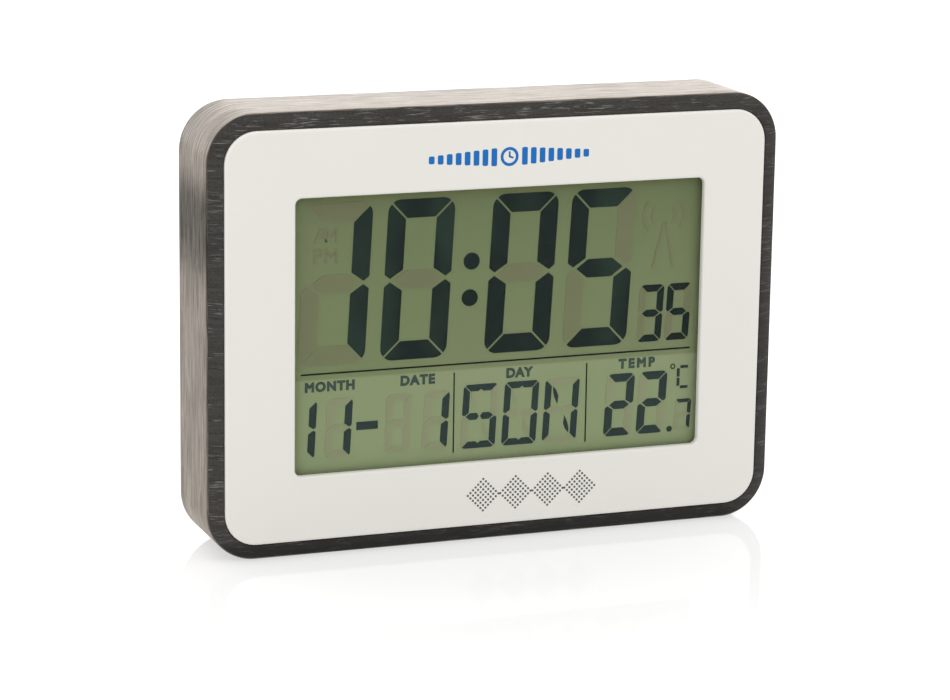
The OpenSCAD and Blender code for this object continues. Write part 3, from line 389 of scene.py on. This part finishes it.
def figures():
    """Dark figures, paler in the lower row, and black lines between the fields."""
    upright_at, upright_half, rule_half = (-13.9, 31.2), 0.35, 0.55
    m = Shader("figures", (0.01, 0.018, 0.014), 0.5)
    m.set("Specular IOR Level", 0.1)
    side, height = m.axis("X"), m.axis("Z")
    tone = m.ramp(m.remap(height, LOWER_FIGURES_TOP, LOWER_FIGURES_TOP + 4.0),
                  (0.0, (0.021, 0.036, 0.034)), (1.0, (0.0035, 0.0105, 0.009)))
    upper = m.remap(height, LOWER_FIGURES_TOP + 6.0, LOWER_FIGURES_TOP + 10.0)
    cloud = m.remap(m.noise(m.position((1, 1, 2.5)), 0.045, 1.0), 0.44, 0.62)
    tone = m.mix(m.product(upper, cloud), tone, (0.012, 0.026, 0.019))
    fine = m.noise(m.position(), 6.0, 2.0)
    tone = m.mix(m.remap(fine, 0.3, 0.7, 0.0, 0.12), tone, (0.02, 0.03, 0.026))
    lines = m.math("COMPARE", height, RULE_HEIGHT, rule_half)
    below_rule = m.math("LESS_THAN", height, LOWER_FIGURES_TOP + 3.0)
    for x in upright_at:
        upright = m.product(m.math("COMPARE", side, x, upright_half), below_rule)
        lines = m.math("MAXIMUM", lines, upright)
    m.drive("Base Color", m.mix(lines, tone, (0.0012, 0.002, 0.0015)))
    m.drive("Roughness", m.remap(fine, 0.3, 0.7, 0.45, 0.6))
    return m.material


def idle_figures():
    """Figures that are off: a faint brownish tint, close to the field behind them."""
    m = Shader("idle_figures", (0.17, 0.19, 0.1), 0.6)
    m.set("Specular IOR Level", 0.3)
    height = m.axis("Z")
    figures_top = extent("lcd_figures")[1].z
    upper = m.ramp(m.remap(height, FIELD_STEP, figures_top, smooth=False),
                   (0.0, (0.157, 0.170, 0.083)), (1.0, (0.140, 0.150, 0.073)))
    tone = by_field(m, height, (0.237, 0.257, 0.145), upper)
    cloud = m.noise(m.position(), 0.05, 2.0)
    m.drive("Base Color", m.mix(m.remap(cloud, 0.3, 0.7, 0.0, 0.5), tone, (0.94, 0.94, 0.94), "MULTIPLY"))
    fine = m.noise(m.position(), 5.0, 2.0)
    m.drive("Roughness", m.remap(fine, 0.3, 0.7, 0.52, 0.66))
    return m.material


def circuit_board():
    """Solder mask with tracks under it and a few bright pads."""
    m = Shader("circuit_board", (0.03, 0.16, 0.07), 0.35)
    tracks = m.node("TexBrick", [("Vector", m.position()), ("Scale", 0.35), ("Mortar Size", 0.05),
                                 ("Color1", (0.02, 0.13, 0.05, 1)), ("Color2", (0.03, 0.17, 0.07, 1)),
                                 ("Mortar", (0.06, 0.26, 0.12, 1))])
    cloud = m.noise(m.position(), 0.4, 3.0)
    m.drive("Base Color", m.mix(m.remap(cloud, 0.4, 0.6, 0.2, 0.8), tracks.outputs[0], (0.025, 0.15, 0.06)))
    m.drive("Roughness", m.remap(cloud, 0.3, 0.7, 0.28, 0.42))
    m.bump(tracks.outputs[1], -0.02)
    return m.material


def metal(name, color, roughness, brush_mm=0.2, depth_mm=0.006, stretch=(8, 1, 1)):
    """Bare metal with fine marks along one way and a tarnish that comes and goes."""
    m = Shader(name, color, roughness, Metallic=1.0)
    marks = m.noise(m.position(stretch), 1 / brush_mm, 2.0)
    tarnish = m.noise(m.position(shift=(4, 4, 4)), 0.25, 3.0)
    m.drive("Base Color", m.ramp(tarnish, (0.35, shade(color, 0.82)), (0.6, color)))
    m.drive("Roughness", m.remap(tarnish, 0.3, 0.7, roughness + 0.12, roughness - 0.04))
    m.bump(marks, depth_mm)
    return m.material


def battery_shell():
    """Printed cell wrap: a dark blue field over a paler one, with a silver ring between them."""
    m = Shader("battery_shell", (0.05, 0.1, 0.24), 0.28)
    height = m.axis("Z")
    fine = m.noise(m.position(), 1.5, 3.0)
    cloud = m.noise(m.position(shift=(5, 1, 2)), 0.2, 2.0)
    dark_blue, blue, silver = (0.014, 0.03, 0.085), (0.03, 0.10, 0.30), (0.62, 0.64, 0.66)
    wraps_per_mm = 0.021
    wrap = m.ramp(m.math("FRACT", m.product(height, wraps_per_mm)),
                  (0.0, dark_blue), (0.60, silver), (0.65, blue), (0.96, silver), interpolation="CONSTANT")
    m.drive("Base Color", m.mix(m.remap(cloud, 0.3, 0.7, 0.0, 0.06), wrap, (0.3, 0.33, 0.4)))
    m.drive("Roughness", m.remap(fine, 0.3, 0.7, 0.24, 0.32))
    m.bump(fine, 0.004)
    return m.material


def ferrite():
    m = Shader("ferrite", (0.035, 0.033, 0.032), 0.7)
    sinter = m.noise(m.position(), 2.2, 6.0, 0.7)
    m.drive("Base Color", m.ramp(sinter, (0.35, (0.02, 0.019, 0.018)), (0.65, (0.06, 0.056, 0.052))))
    m.bump(sinter, 0.05)
    return m.material


def copper():
    """Enamelled copper: fine turns side by side."""
    m = Shader("copper_wire", (0.72, 0.3, 0.12), 0.3, Metallic=1.0)
    turns = m.node("TexWave", [("Vector", m.position()), ("Scale", 1.6), ("Distortion", 0.2)],
                   bands_direction="X").outputs["Fac"]
    m.drive("Base Color", m.ramp(turns, (0.1, (0.35, 0.12, 0.04)), (0.6, (0.78, 0.34, 0.14))))
    m.bump(turns, 0.08)
    return m.material


def contact_rubber():
    """Striped strip: thin dark conducting layers between pale ones."""
    m = Shader("contact_rubber", (0.6, 0.5, 0.3), 0.6)
    stripes = m.node("TexWave", [("Vector", m.position()), ("Scale", 2.0)], bands_direction="X")
    layers = m.ramp(stripes.outputs["Fac"], (0.42, (0.03, 0.03, 0.03)), (0.55, (0.62, 0.52, 0.34)))
    m.drive("Base Color", layers)
    return m.material


def foam():
    m = Shader("foam", (0.02, 0.02, 0.022), 0.9)
    cells = m.node("TexVoronoi", [("Vector", m.position()), ("Scale", 3.0)]).outputs["Distance"]
    m.drive("Base Color", m.ramp(cells, (0.1, (0.008, 0.008, 0.009)), (0.6, (0.035, 0.035, 0.038))))
    m.bump(cells, 0.08)
    return m.material


def ink(name, color, roughness=0.45, specular=0.4):
    """Screen-printed ink, a little uneven in cover."""
    m = Shader(name, color, roughness)
    m.set("Specular IOR Level", specular)
    cover = m.noise(m.position(), 3.5, 3.0)
    m.drive("Base Color", m.ramp(cover, (0.25, shade(color, 0.93)), (0.6, color)))
    m.drive("Roughness", m.remap(cover, 0.3, 0.7, roughness - 0.04, roughness + 0.06))
    m.bump(cover, 0.002)
    return m.material


def build_materials():
    """One material for each slot of the record; the rear glass shows the film that is bonded behind it."""
    behind = reflector()
    return {
        "panel_plastic": panel_plastic(),
        "black_plastic": moulded("black_plastic", (0.022, 0.022, 0.023), 0.5, 0.3, 0.03),
        "button_plastic": moulded("button_plastic", (0.04, 0.04, 0.042), 0.36, 0.5, 0.008),
        "white_plastic": moulded("white_plastic", (0.72, 0.72, 0.69), 0.45),
        "foam": foam(),
        "contact_rubber": contact_rubber(),
        "display_glass": behind,
        "display_back": behind,
        "figures": figures(),
        "idle_figures": idle_figures(),
        "circuit_board": circuit_board(),
        "chip_resin": moulded("chip_resin", (0.012, 0.012, 0.012), 0.28, 0.8, 0.01),
        "small_parts": moulded("small_parts", (0.28, 0.19, 0.11), 0.45, 0.3, 0.01, 0.3),
        "steel": metal("steel", (0.62, 0.62, 0.64), 0.3),
        "nickel": metal("nickel", (0.72, 0.7, 0.66), 0.24),
        "battery_shell": battery_shell(),
        "ferrite": ferrite(),
        "copper_wire": copper(),
        "brass": metal("brass", (0.78, 0.6, 0.26), 0.3),
        "ceramic": moulded("ceramic", (0.8, 0.78, 0.7), 0.6, 0.2, 0.01),
        "wire_sleeve": moulded("wire_sleeve", (0.22, 0.02, 0.02), 0.4, 0.6, 0.01),
    }


def dress_frame(made):
    """Gives every CAD node the material of its slot."""
    for piece in NODES.values():
        slots = piece.data.materials
        for index, old in enumerate(slots):
            name = old.name.split(".")[0] if old else ""
            if name in made:
                slots[index] = made[name]


# ---------------------------------------------------------------- wood-grain sleeve

def arc_points(x, y, r, start, end, steps):
    """Points of an arc in a profile, from start to end in degrees."""
    turn = [math.radians(start + (end - start) * i / steps) for i in range(steps + 1)]
    return [(x + r * math.cos(a), y + r * math.sin(a)) for a in turn]


def strip(first, second, n):
    """Faces between two closed rings of n corners; each ring is given by the number of its first corner."""
    return [(first + k, first + (k + 1) % n, second + (k + 1) % n, second + k) for k in range(n)]


def sleeve_profile(depth, ring_w=4.95, bulge=0.35, wall=2.6, rebate_wall=1.4, lip=2.2, cover_t=2.2,
                   edge=0.4, inner_edge=0.3, back_edge=0.5):
    """(inset, depth) points in millimetres, anticlockwise from the back edge, and each span's material."""
    side_steps, slope_steps = 6, 14
    seat = depth - cover_t
    outer = arc_points(back_edge, depth - back_edge, back_edge, 90, 180, 5)
    outer += [(0.0, depth * (1 - i / side_steps)) for i in range(1, side_steps)]
    outer += arc_points(edge, edge, edge, 180, 245, 4)
    slope = []
    for i in range(slope_steps + 1):
        s = i / slope_steps
        rise = RING_RISE * s * (1 + bulge * (1 - s))
        slope.append((edge + s * (ring_w - edge - inner_edge), -rise))
    inner = arc_points(ring_w - inner_edge, inner_edge - RING_RISE, inner_edge, -70, 0, 4)
    core = [(ring_w, lip), (wall, lip), (wall, seat), (rebate_wall, seat), (rebate_wall, depth)]
    kinds = [0] * len(outer) + [1] * (len(slope) + len(inner)) + [2] * len(core)
    return outer + slope + inner + core, kinds


def outline_stations(half_w, half_h, r, straight_mm=4.0, corner_steps=20):
    """Stations round a rounded rectangle: (corner centre x, z, normal x, z, distance along it)."""
    x, z, quarter = half_w - r, half_h - r, math.radians(90)
    centres = [(x, -z), (x, z), (-x, z), (-x, -z)]
    stations, along = [], 0.0
    for side, (start, end) in enumerate(zip(centres, centres[1:] + centres[:1])):
        normal = (math.cos(side * quarter), math.sin(side * quarter))
        length = math.dist(start, end)
        count = round(length / straight_mm)
        for i in range(count + 1):
            s = i / count
            centre = (start[0] + s * (end[0] - start[0]), start[1] + s * (end[1] - start[1]))
            stations.append((*centre, *normal, along + s * length))
        along += length
        for i in range(1, corner_steps):
            turn = (side + i / corner_steps) * quarter
            stations.append((*end, math.cos(turn), math.sin(turn), along + r * quarter * i / corner_steps))
        along += r * quarter
    return stations, along


def new_mesh(name, verts, faces, materials, smooth=True):
    mesh = bpy.data.meshes.new(name)
    mesh.from_pydata(verts, [], faces)
    for material in materials:
        mesh.materials.append(material)
    mesh.validate()
    if smooth:
        mesh.shade_smooth()
    return add_object(name, mesh)


def wood_sleeve():
    """The wrapped sleeve, swept round its outline; its map holds distances along and across the film."""
    corner_r = 15.5
    low, high = extent("wood_frame")
    half_w, half_h = (high.x - low.x) / 2, (high.z - low.z) / 2
    edge_y = low.y + RING_RISE
    profile, kinds = sleeve_profile(high.y - edge_y)
    stations, around = outline_stations(half_w, half_h, corner_r)
    verts = []
    for cx, cz, nx, nz, _ in stations:
        for inset, depth in profile:
            reach = corner_r - inset
            verts.append(((cx + nx * reach) * MM, (edge_y + depth) * MM, (cz + nz * reach + half_h) * MM))

    across = [0.0]
    for p, q in zip(profile, profile[1:] + profile[:1]):
        across.append(across[-1] + math.dist(p, q))
    along = [station[4] for station in stations] + [around]
    n, count = len(profile), len(stations)
    faces, maps = [], []
    for i in range(count):
        faces += strip(i * n, (i + 1) % count * n, n)
        maps += [((along[i], across[k]), (along[i], across[k + 1]),
                  (along[i + 1], across[k + 1]), (along[i + 1], across[k])) for k in range(n)]

    piece = new_mesh("wood_sleeve", verts, faces, [wood_side(), wood_front(), sleeve_core()])
    layer = piece.data.uv_layers.new(name="film")
    for face, places in zip(piece.data.polygons, maps):
        face.material_index = kinds[face.index % n]
        for loop, spot in zip(face.loop_indices, places):
            layer.data[loop].uv = spot
    piece.data.set_sharp_from_angle(angle=math.radians(32))
    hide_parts("wood_frame")
    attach(piece, "case")


# ---------------------------------------------------------------- display

def display_face():
    """The front glass with its polarizing film bonded on: one stepped, see-through solid."""
    chamfer = 0.2
    verts = []
    for low, high in (extent("front_polarizer"), extent("front_glass")):
        for y in (low.y, high.y):
            for x, z, dx, dz in ((low.x, low.z, 1, 1), (high.x, low.z, -1, 1),
                                 (high.x, high.z, -1, -1), (low.x, high.z, 1, -1)):
                level, upright = (x + dx * chamfer, y, z), (x, y, z + dz * chamfer)
                verts += [upright, level] if dx * dz > 0 else [level, upright]
    n = 8
    last = len(verts) - n
    faces = [tuple(range(n)), tuple(range(last, last + n))[::-1]]
    for first in range(0, last, n):
        faces += strip(first + n, first, n)
    verts = [[MM * value for value in corner] for corner in verts]
    piece = new_mesh("display_face", verts, faces, [polarizer()], smooth=False)
    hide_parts("front_polarizer", "front_glass")
    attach(piece, "case")


# ---------------------------------------------------------------- print

def text_mesh(name, text, material, height, width=None, thickness=PRINT_THICKNESS, heavy=0.0):
    """A word as a thin flat solid in millimetres, centred and facing -Y.

    Its letters are spaced out to the width, if there is one; heavy thickens their strokes.
    """
    advance = 0.62  # how far one unit of character spacing moves the next letter, over the size
    spacing_rounds = 3
    curve = bpy.data.curves.new(name, "FONT")
    curve.body = text
    curve.size = 1.0
    curve.align_x = "CENTER"
    curve.resolution_u = 6
    curve.fill_mode = "BOTH"
    word = add_object(name, curve)
    bpy.context.view_layer.update()
    curve.size = (height - 2 * heavy) * MM / word.dimensions.y
    curve.bevel_depth = heavy * MM
    curve.bevel_resolution = 0
    curve.extrude = thickness / 2 * MM
    bpy.context.view_layer.update()
    if width:
        for _ in range(spacing_rounds):
            extra = width * MM - word.dimensions.x
            curve.space_character += extra / max(1, len(text) - 1) / (advance * curve.size)
            bpy.context.view_layer.update()
    evaluated = word.evaluated_get(bpy.context.evaluated_depsgraph_get())
    mesh = bpy.data.meshes.new_from_object(evaluated)
    bpy.data.objects.remove(word)
    bpy.data.curves.remove(curve)
    low = Vector([min(v.co[i] for v in mesh.vertices) for i in range(3)])
    high = Vector([max(v.co[i] for v in mesh.vertices) for i in range(3)])
    flat = Matrix.Diagonal((1.0, 1.0, thickness * MM / (high.z - low.z), 1.0))
    mesh.transform(Matrix.Rotation(math.radians(90), 4, "X") @ flat @ Matrix.Translation(-(low + high) / 2))
    mesh.name = name
    mesh.materials.clear()
    mesh.materials.append(material)
    return add_object(name, mesh)


def place(piece, x, y, z, slot=None, back=False):
    """Puts a print on the case at a point in millimetres; back turns it to face the rear."""
    turn = Matrix.Rotation(math.pi if back else 0.0, 4, "Z")
    piece.data.transform(Matrix.Translation(Vector((x, y, z)) * MM) @ turn)
    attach(piece, "case")


def bar_outline(x, z, w, h, r):
    """Rounded bar in millimetres, anticlockwise."""
    r = min(r, w / 2 - 0.001, h / 2 - 0.001)
    points = []
    for sx, sz, start in ((1, 1, 0), (-1, 1, 90), (-1, -1, 180), (1, -1, 270)):
        points += arc_points(x + sx * (w / 2 - r), z + sz * (h / 2 - r), r, start, start + 90, 5)
    return points


def circle_outline(x, z, r, corners=40):
    """Circle in millimetres, anticlockwise."""
    return arc_points(x, z, r, 0, 360 * (corners - 1) / corners, corners - 1)


def turned(points, x, z, degrees):
    """The points turned about a point."""
    c, s = math.cos(math.radians(degrees)), math.sin(math.radians(degrees))
    return [(x + (px - x) * c - (pz - z) * s, z + (px - x) * s + (pz - z) * c) for px, pz in points]


def print_mesh(name, shapes, material, thickness=PRINT_THICKNESS):
    """Thin flat solids facing -Y, backs on y = 0; a shape is an outline, or an outer and an inner one."""
    verts, faces = [], []
    for shape in shapes:
        rings = shape if isinstance(shape, tuple) else (shape,)
        first, n = len(verts), len(rings[0])
        for ring in rings:
            verts += [(x * MM, y * MM, z * MM) for y in (-thickness, 0.0) for x, z in ring]
        faces += strip(first + n, first, n)
        if len(rings) == 2:
            inner = first + 2 * n
            faces += strip(inner, inner + n, n) + strip(first, inner, n) + strip(inner + n, first + n, n)
        else:
            faces += [tuple(range(first, first + n)), tuple(range(first + n, first + 2 * n))[::-1]]
    return new_mesh(name, verts, faces, [material], smooth=False)


def dial_ornament():
    """A plain blue dial between bars that grow shorter outwards."""
    x, z, dial_r, rim_r = 2.1, 123.4, 3.0, 2.05
    hand_w, minute_hand, hour_hand, hour_turn, tail = 0.6, 1.9, 1.6, -20, 0.2
    first_bar, bar_pitch, bar_w, bar_h, bar_step = 5.1, 2.95, 1.9, 5.6, 0.45
    shapes = [(circle_outline(x, z, dial_r), circle_outline(x, z, rim_r))]
    shapes.append(bar_outline(x, z + minute_hand / 2 - tail, hand_w, minute_hand, hand_w / 2))
    hour = bar_outline(x + hour_hand / 2 - tail, z, hour_hand, hand_w, hand_w / 2)
    shapes.append(turned(hour, x, z, hour_turn))
    for side in (-1, 1):
        for i in range(8):
            centre = x + side * (first_bar + bar_pitch * i)
            shapes.append(bar_outline(centre, z, bar_w, bar_h - bar_step * i, 0.5))
    return print_mesh("dial_ornament", shapes, ink("blue_ink", (0.004, 0.135, 0.445), specular=0.2))


def dot_ornament():
    """Four diamonds of small grey dots in a row."""
    x, z, diamond_pitch, dot_pitch, dot_w, reach = 11.5, 15.2, 11.0, 0.86, 0.68, 6
    dots = []
    for k in (-1.5, -0.5, 0.5, 1.5):
        for i in range(-reach, reach + 1):
            for j in range(-reach, reach + 1):
                if (i + j) % 2 == 0 and abs(i) + abs(j) <= reach:
                    centre = (x + diamond_pitch * k + i * dot_pitch, z + j * dot_pitch)
                    dots.append(bar_outline(*centre, dot_w, dot_w, 0.14))
    return print_mesh("dot_ornament", dots, ink("grey_ink", (0.075, 0.076, 0.08)))


def panel_ornaments():
    """Plain ornaments where the object carries its marks."""
    face = extent("front_panel")[0].y
    place(dial_ornament(), 0, face, 0)
    place(dot_ornament(), 0, face, 0)


def display_labels():
    """The generic words over the lower figures, and the faint ones that are off."""
    low, high = extent("lcd_figures")
    y = (low.y + high.y) / 2
    dark = ink("label_ink", (0.036, 0.062, 0.048), 0.5, 0.15)
    for word, left, right, z in (("MONTH", -63.2, -46.9, 53.3), ("DATE", -31.8, -20.3, 53.3),
                                 ("DAY", 3.7, 12.9, 53.3), ("TEMP", 42.2, 55.0, 53.6)):
        piece = text_mesh(word.lower() + "_label", word, dark, 3.3, right - left, LABEL_THICKNESS, 0.24)
        place(piece, (left + right) / 2, y, z, "figures")
    faint = NODES["lcd_idle_figures"].data.materials[0]
    for word, z in (("AM", 101.0), ("PM", 94.5)):
        piece = text_mesh(word.lower() + "_label", word, faint, 4.6, 7.8, LABEL_THICKNESS, 0.16)
        place(piece, -56.6, y, z, "idle_figures")


def rear_labels():
    """Generic words beside the buttons, in white ink on the back cover."""
    gap = 3.2
    y = extent("rear_cover")[1].y
    white = ink("white_ink", (0.62, 0.62, 0.6))
    words = {"time_button": "SET", "alarm_button": "ALARM", "plus_button": "UP", "minus_button": "DOWN",
             "snooze_button": "SNOOZE", "unit_button": "C / F"}
    for node, word in words.items():
        low, high = extent(node)
        piece = text_mesh(node + "_label", word, white, 2.3, heavy=0.06)
        width = piece.dimensions.x / MM
        place(piece, high.x + gap + width / 2, y, (low.z + high.z) / 2, back=True)


# ---------------------------------------------------------------- stage and light

def pale_world():
    """A world that is brighter behind the object than in front of it."""
    front_y, back_y, front_strength, back_strength = -0.3, 0.95, 0.93, 2.75
    world = bpy.data.worlds.new("studio")
    bpy.context.scene.world = world
    world.use_nodes = True
    tree = world.node_tree
    background = tree.nodes["Background"]
    background.inputs["Color"].default_value = (1.0, 0.995, 0.985, 1.0)
    coords = tree.nodes.new("ShaderNodeTexCoord")
    split = tree.nodes.new("ShaderNodeSeparateXYZ")
    spread = tree.nodes.new("ShaderNodeMapRange")
    spread.interpolation_type = "SMOOTHSTEP"
    for index, value in enumerate((front_y, back_y, front_strength, back_strength), 1):
        spread.inputs[index].default_value = value
    tree.links.new(coords.outputs["Generated"], split.inputs[0])
    tree.links.new(split.outputs["Y"], spread.inputs["Value"])
    tree.links.new(spread.outputs[0], background.inputs["Strength"])


def top_softbox():
    soft = bpy.data.lights.new("top_softbox", "AREA")
    soft.shape = "RECTANGLE"
    soft.size, soft.size_y = 1.2, 0.8
    soft.energy = 3.4
    lamp = add_object("top_softbox", soft)
    lamp.location = (-0.25, -0.35, 1.15)
    aim = Vector((0, 0, 0.07))
    lamp.rotation_mode = "QUATERNION"
    lamp.rotation_quaternion = (aim - lamp.location).to_track_quat("-Z", "Y")
    lamp.visible_camera = False


def floor_material():
    """Matt white, lit a little from below, under a faint mirror that fades out in front of the object."""
    far_mirror, near_mirror, fade_mm = 0.04, 0.11, 260
    m = Shader("table_top", (0.36, 0.36, 0.36), 0.6)
    m.set("Specular IOR Level", 0.0)
    m.set("Emission Color", (1.0, 1.0, 1.0, 1.0))
    m.set("Emission Strength", 0.6)
    mirror = m.node("BsdfGlossy", [("Roughness", 0.04), ("Color", (1, 1, 1, 1))])
    fade = m.remap(m.axis("Y"), CAD_LOW.y - fade_mm, CAD_LOW.y, far_mirror, near_mirror)
    blend = m.node("MixShader", [(0, fade), (1, m.surface.outputs[0]), (2, mirror.outputs[0])])
    m.feed(m.tree.nodes["Material Output"].inputs["Surface"], blend.outputs[0])
    return m.material


def floor():
    """Gloss table top, a hair's breadth under the object."""
    size, drop, steps = 6.0, 0.00005, 24
    ticks = [-size + 2 * size * i / steps for i in range(steps + 1)]
    verts = [(x, y, -drop) for y in ticks for x in ticks]
    row = steps + 1
    faces = [(j * row + i, j * row + i + 1, (j + 1) * row + i + 1, (j + 1) * row + i)
             for j in range(steps) for i in range(steps)]
    top = new_mesh("table_top", verts, faces, [floor_material()])


make_camera()
pale_world()
top_softbox()
floor()
dress_frame(build_materials())
wood_sleeve()
display_face()
display_labels()
panel_ornaments()
rear_labels()

bpy.context.scene.view_settings.view_transform = "Standard"
